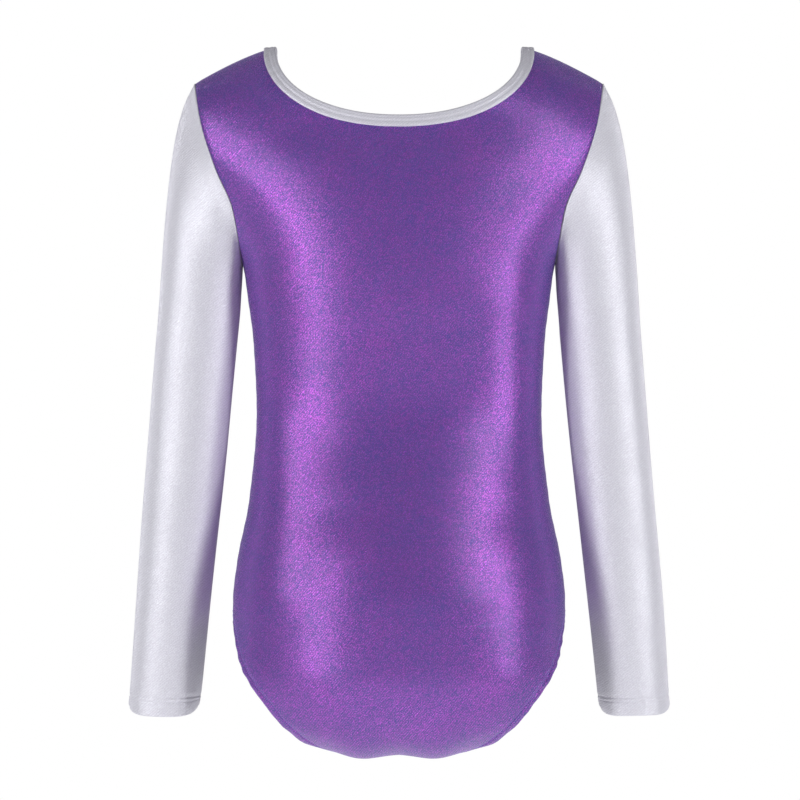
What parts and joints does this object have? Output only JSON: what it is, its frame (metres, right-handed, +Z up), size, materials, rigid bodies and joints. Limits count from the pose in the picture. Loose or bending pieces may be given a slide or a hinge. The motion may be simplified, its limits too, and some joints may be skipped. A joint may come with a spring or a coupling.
{
  "type": "long-sleeved gymnastics leotard",
  "caption": "Child's long-sleeved gymnastics leotard in purple metallic stretch cloth with silver sleeves, a bound scoop neck and elasticated leg openings, worn shape.",
  "frame": {"origin": "on the centre line, level with the high point of the shoulders, where the neckline meets the shoulder seams; the body form or shoulders that hold the leotard up reach this level", "axes": "+Z up the body from the crotch to the neck; +Y towards the wearer's back, so the wearer faces -Y; +X towards the wearer's left arm"},
  "size_m": [0.4442, 0.1898, 0.5793],
  "materials": {
    "body_cloth": "metallic foil print on four-way stretch knit, purple",
    "sleeve_cloth": "metallic foil print on four-way stretch knit, silver",
    "lining": "matt brushed knit",
    "label": "woven satin, blank",
    "elastic": "matt, slightly translucent",
    "body_thread": "soft textured polyester thread, purple",
    "sleeve_thread": "soft textured polyester thread, silver grey"
  },
  "bodies": {
    "torso": {"back_panel": "body_cloth", "front_panel": "body_cloth", "neck_binding": "sleeve_cloth", "neck_elastic": "elastic", "neck_coverstitch": "sleeve_thread", "crotch_lining": "lining", "crotch_seam": "body_thread", "size_label": "label", "care_label": "label", "left_armhole_seam": "sleeve_thread", "right_armhole_seam": "sleeve_thread", "left_side_seam": "body_thread", "right_side_seam": "body_thread", "left_shoulder_seam": "body_thread", "right_shoulder_seam": "body_thread", "left_shoulder_tape": "elastic", "right_shoulder_tape": "elastic", "left_leg_elastic": "elastic", "right_leg_elastic": "elastic", "left_leg_coverstitch": "body_thread", "right_leg_coverstitch": "body_thread"},
    "left_sleeve": {"left_sleeve": "sleeve_cloth", "left_sleeve_seam": "sleeve_thread", "left_cuff_coverstitch": "sleeve_thread"},
    "right_sleeve": {"right_sleeve": "sleeve_cloth", "right_sleeve_seam": "sleeve_thread", "right_cuff_coverstitch": "sleeve_thread"}
  },
  "joints": [
    {"name": "left_sleeve_swing", "type": "hinge", "parent": "torso", "child": "left_sleeve", "pos_m": [0.166, 0, -0.02665], "axis": [0, -1, 0], "range_deg": [0, 70]},
    {"name": "right_sleeve_swing", "type": "hinge", "parent": "torso", "child": "right_sleeve", "pos_m": [-0.166, 0, -0.02665], "axis": [0, 1, 0], "range_deg": [0, 70]}
  ]
}
